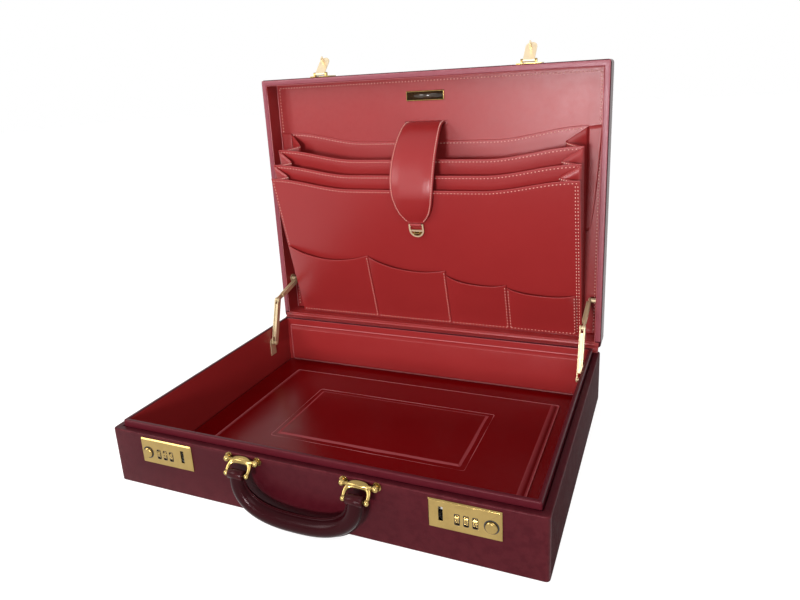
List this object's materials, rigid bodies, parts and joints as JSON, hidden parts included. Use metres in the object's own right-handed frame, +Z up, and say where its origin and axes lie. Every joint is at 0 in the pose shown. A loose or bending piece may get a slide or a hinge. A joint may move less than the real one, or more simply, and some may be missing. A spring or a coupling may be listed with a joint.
{
  "type": "attache case",
  "caption": "Hinged hard leather case standing open, with combination locks, a swinging carry handle, folding lid stays and an expanding file with card pockets in the lid.",
  "frame": {"origin": "on the underside of the base, at the middle of its width and depth", "axes": "+X along the width, to the right seen from the handle side; +Y from the handle side to the hinge side; +Z up"},
  "size_m": [0.44, 0.3839, 0.4176],
  "materials": {
    "outer_leather": "smooth, semi-gloss burgundy",
    "lining_leather": "smooth satin brick red",
    "floor_leather": "glossy deep red",
    "brass": "polished",
    "steel": "brushed"
  },
  "bodies": {
    "base": {"base_shell": "outer_leather", "base_liner": "lining_leather", "floor_lining": "floor_leather", "floor_pad": "floor_leather", "floor_middle": "floor_leather", "back_wall_pad": "lining_leather", "hinge_leaf_base": "brass", "hinge_pin": "brass", "base_screws": "brass", "lock_plate_left": "brass", "lock_plate_right": "brass", "lock_case_left": "steel", "lock_case_right": "steel", "dial_axles": "steel", "stay_base_plates": "brass", "handle_posts": "brass"},
    "lid": {"lid_shell": "outer_leather", "lid_lining": "lining_leather", "badge_plate": "brass", "hinge_leaf_lid": "brass", "lid_screws": "brass", "file_back": "lining_leather", "file_base": "lining_leather", "file_gusset_left": "lining_leather", "file_gusset_right": "lining_leather", "stay_lid_plates": "brass", "hasp_base_left": "brass", "hasp_base_right": "brass"},
    "file_divider_1": {"file_divider_1": "lining_leather"},
    "file_divider_2": {"file_divider_2": "lining_leather"},
    "file_front": {"file_front": "lining_leather", "card_pocket_1": "lining_leather", "card_pocket_2": "lining_leather", "card_pocket_3": "lining_leather", "card_pocket_4": "lining_leather", "strap": "lining_leather", "ring_catch": "brass"},
    "strap_ring": {"strap_ring": "brass"},
    "stay_lower_left": {"stay_lower_left": "brass"},
    "stay_lower_right": {"stay_lower_right": "brass"},
    "stay_upper_left": {"stay_upper_left": "brass"},
    "stay_upper_right": {"stay_upper_right": "brass"},
    "hasp_left": {"hasp_left": "brass"},
    "hasp_right": {"hasp_right": "brass"},
    "button_left": {"button_left": "brass"},
    "button_right": {"button_right": "brass"},
    "latch_left": {"latch_left": "steel"},
    "latch_right": {"latch_right": "steel"},
    "bail_left": {"bail_left": "brass"},
    "bail_right": {"bail_right": "brass"},
    "handle": {"handle": "outer_leather"},
    "dial_left_1": {"dial_left_1": "brass"},
    "dial_left_2": {"dial_left_2": "brass"},
    "dial_left_3": {"dial_left_3": "brass"},
    "dial_right_1": {"dial_right_1": "brass"},
    "dial_right_2": {"dial_right_2": "brass"},
    "dial_right_3": {"dial_right_3": "brass"}
  },
  "joints": [
    {"name": "lid_hinge", "type": "hinge", "parent": "base", "child": "lid", "pos_m": [0, 0.1673, 0.0603], "axis": [1, 0, 0], "range_deg": [0, 90]},
    {"name": "file_fold", "type": "hinge", "parent": "lid", "child": "file_front", "pos_m": [0, 0.1829, 0.0714], "axis": [-1, 0, 0], "range_deg": [0, 11.5], "deforming": ["strap", "file_gusset_left", "file_gusset_right"]},
    {"name": "divider_1_fold", "type": "hinge", "parent": "lid", "child": "file_divider_1", "pos_m": [0, 0.1889, 0.0714], "axis": [-1, 0, 0], "range_deg": [0, 7]},
    {"name": "divider_2_fold", "type": "hinge", "parent": "lid", "child": "file_divider_2", "pos_m": [0, 0.1859, 0.0714], "axis": [-1, 0, 0], "range_deg": [0, 10]},
    {"name": "ring_swing", "type": "hinge", "parent": "file_front", "child": "strap_ring", "pos_m": [0, 0.14269, 0.21129], "axis": [-1, 0, 0], "range_deg": [0, 60]},
    {"name": "stay_lower_left_pivot", "type": "hinge", "parent": "base", "child": "stay_lower_left", "pos_m": [-0.2057, 0.1103, 0.0458], "axis": [1, 0, 0], "range_deg": [0, 90]},
    {"name": "stay_upper_left_pivot", "type": "hinge", "parent": "lid", "child": "stay_upper_left", "pos_m": [-0.2041, 0.1848, 0.1163], "axis": [1, 0, 0], "range_deg": [-90, 0]},
    {"name": "hasp_left_hinge", "type": "hinge", "parent": "lid", "child": "hasp_left", "pos_m": [-0.132, 0.171, 0.3963], "axis": [1, 0, 0], "range_deg": [0, 135]},
    {"name": "button_left_slide", "type": "slide", "parent": "base", "child": "button_left", "axis": [0, 1, 0], "range_m": [0, 0.0025], "stiffness_N_per_m": 200, "springref_m": -0.002},
    {"name": "latch_left_slide", "type": "slide", "parent": "base", "child": "latch_left", "axis": [1, 0, 0], "range_m": [0, 0.0032]},
    {"name": "dial_left_1_turn", "type": "hinge", "parent": "base", "child": "dial_left_1", "pos_m": [-0.1612, -0.1615, 0.0415], "axis": [1, 0, 0], "continuous": true},
    {"name": "dial_left_2_turn", "type": "hinge", "parent": "base", "child": "dial_left_2", "pos_m": [-0.1536, -0.1615, 0.0415], "axis": [1, 0, 0], "continuous": true},
    {"name": "dial_left_3_turn", "type": "hinge", "parent": "base", "child": "dial_left_3", "pos_m": [-0.146, -0.1615, 0.0415], "axis": [1, 0, 0], "continuous": true},
    {"name": "stay_lower_right_pivot", "type": "hinge", "parent": "base", "child": "stay_lower_right", "pos_m": [0.2057, 0.1103, 0.0458], "axis": [1, 0, 0], "range_deg": [0, 90]},
    {"name": "stay_upper_right_pivot", "type": "hinge", "parent": "lid", "child": "stay_upper_right", "pos_m": [0.2041, 0.1848, 0.1163], "axis": [1, 0, 0], "range_deg": [-90, 0]},
    {"name": "hasp_right_hinge", "type": "hinge", "parent": "lid", "child": "hasp_right", "pos_m": [0.132, 0.171, 0.3963], "axis": [1, 0, 0], "range_deg": [0, 135]},
    {"name": "button_right_slide", "type": "slide", "parent": "base", "child": "button_right", "axis": [0, 1, 0], "range_m": [0, 0.0025], "stiffness_N_per_m": 200, "springref_m": -0.002},
    {"name": "latch_right_slide", "type": "slide", "parent": "base", "child": "latch_right", "axis": [-1, 0, 0], "range_m": [0, 0.0032]},
    {"name": "dial_right_1_turn", "type": "hinge", "parent": "base", "child": "dial_right_1", "pos_m": [0.1612, -0.1615, 0.0415], "axis": [1, 0, 0], "continuous": true},
    {"name": "dial_right_2_turn", "type": "hinge", "parent": "base", "child": "dial_right_2", "pos_m": [0.1536, -0.1615, 0.0415], "axis": [1, 0, 0], "continuous": true},
    {"name": "dial_right_3_turn", "type": "hinge", "parent": "base", "child": "dial_right_3", "pos_m": [0.146, -0.1615, 0.0415], "axis": [1, 0, 0], "continuous": true},
    {"name": "bail_left_hinge", "type": "hinge", "parent": "base", "child": "bail_left", "pos_m": [-0.06, -0.169, 0.056], "axis": [-1, 0, 0], "range_deg": [0, 75]},
    {"name": "bail_right_hinge", "type": "hinge", "parent": "base", "child": "bail_right", "pos_m": [0.06, -0.169, 0.056], "axis": [-1, 0, 0], "range_deg": [0, 75]},
    {"name": "handle_pivot", "type": "hinge", "parent": "bail_left", "child": "handle", "pos_m": [-0.06, -0.17777, 0.04723], "axis": [-1, 0, 0], "range_deg": [0, 90]}
  ],
  "couplings": [
    {"joint": "divider_1_fold", "follows": "file_fold", "ratio": 0.6087},
    {"joint": "divider_2_fold", "follows": "file_fold", "ratio": 0.86957},
    {"joint": "stay_lower_left_pivot", "follows": "lid_hinge", "ratio": 1},
    {"joint": "stay_upper_left_pivot", "follows": "lid_hinge", "ratio": -1},
    {"joint": "latch_left_slide", "follows": "button_left_slide", "ratio": 1.28},
    {"joint": "stay_lower_right_pivot", "follows": "lid_hinge", "ratio": 1},
    {"joint": "stay_upper_right_pivot", "follows": "lid_hinge", "ratio": -1},
    {"joint": "latch_right_slide", "follows": "button_right_slide", "ratio": 1.28},
    {"joint": "bail_right_hinge", "follows": "bail_left_hinge", "ratio": 1}
  ]
}
